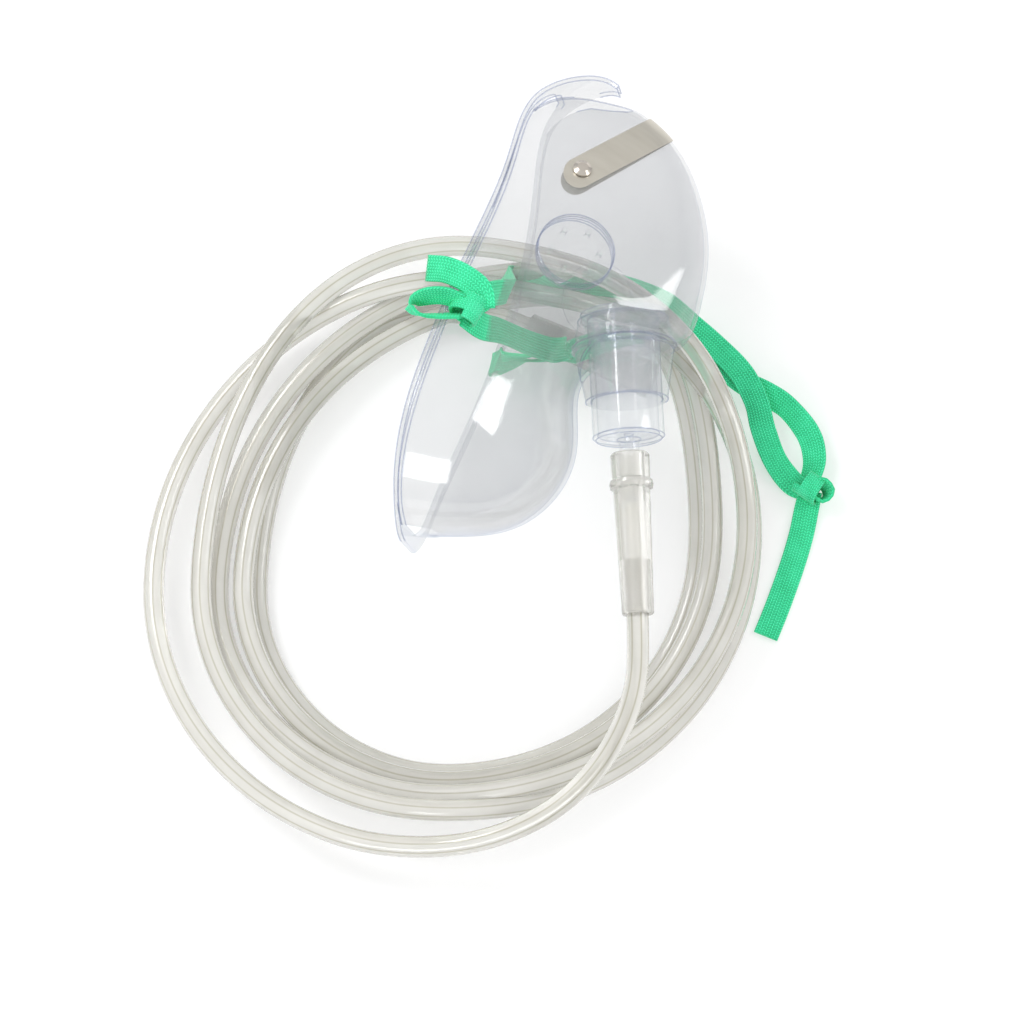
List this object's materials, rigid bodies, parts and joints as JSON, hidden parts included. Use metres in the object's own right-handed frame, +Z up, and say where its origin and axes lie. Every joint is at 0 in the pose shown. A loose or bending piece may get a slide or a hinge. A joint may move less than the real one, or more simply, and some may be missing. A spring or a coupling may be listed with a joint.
{
  "type": "oxygen face mask",
  "caption": "Clear soft oxygen face mask with a bent nose clip, elastic head strap, swivel inlet and coiled supply tubing.",
  "frame": {"origin": "middle of the footprint of the mask and its strap, on the table", "axes": "+Z up from the table; +Y along the mask's lie, from its chin end towards its nose end; +X towards the strap's knot. The mask lies on its right cheek, so its own across-the-face direction is nearly vertical."},
  "size_m": [0.1975, 0.215, 0.0902],
  "materials": {
    "clear_vinyl": "clear soft vinyl, glossy, faintly blue at its edges",
    "clip_metal": "satin champagne grey strip",
    "rivet_metal": "rolled eyelet",
    "adapter_plastic": "clear hard plastic",
    "socket_vinyl": "translucent soft vinyl",
    "tubing_vinyl": "translucent warm white tubing with lengthwise ribs inside",
    "strap_elastic": "ribbed green elastic"
  },
  "bodies": {
    "mask": {"mask_shell": "clear_vinyl", "nose_clip": "clip_metal", "nose_clip_rivet_near": "rivet_metal", "nose_clip_rivet_far": "rivet_metal", "tubing_lead": "tubing_vinyl", "tubing_coil": "tubing_vinyl", "supply_socket": "socket_vinyl", "head_strap": "strap_elastic"},
    "adapter": {"inlet_adapter": "adapter_plastic", "inlet_socket": "socket_vinyl"}
  },
  "joints": [
    {"name": "adapter_swivel", "type": "hinge", "parent": "mask", "child": "adapter", "pos_m": [0.00052, -0.002, 0.04977], "axis": [0.0424, -0.9981, -0.0449], "continuous": true}
  ]
}
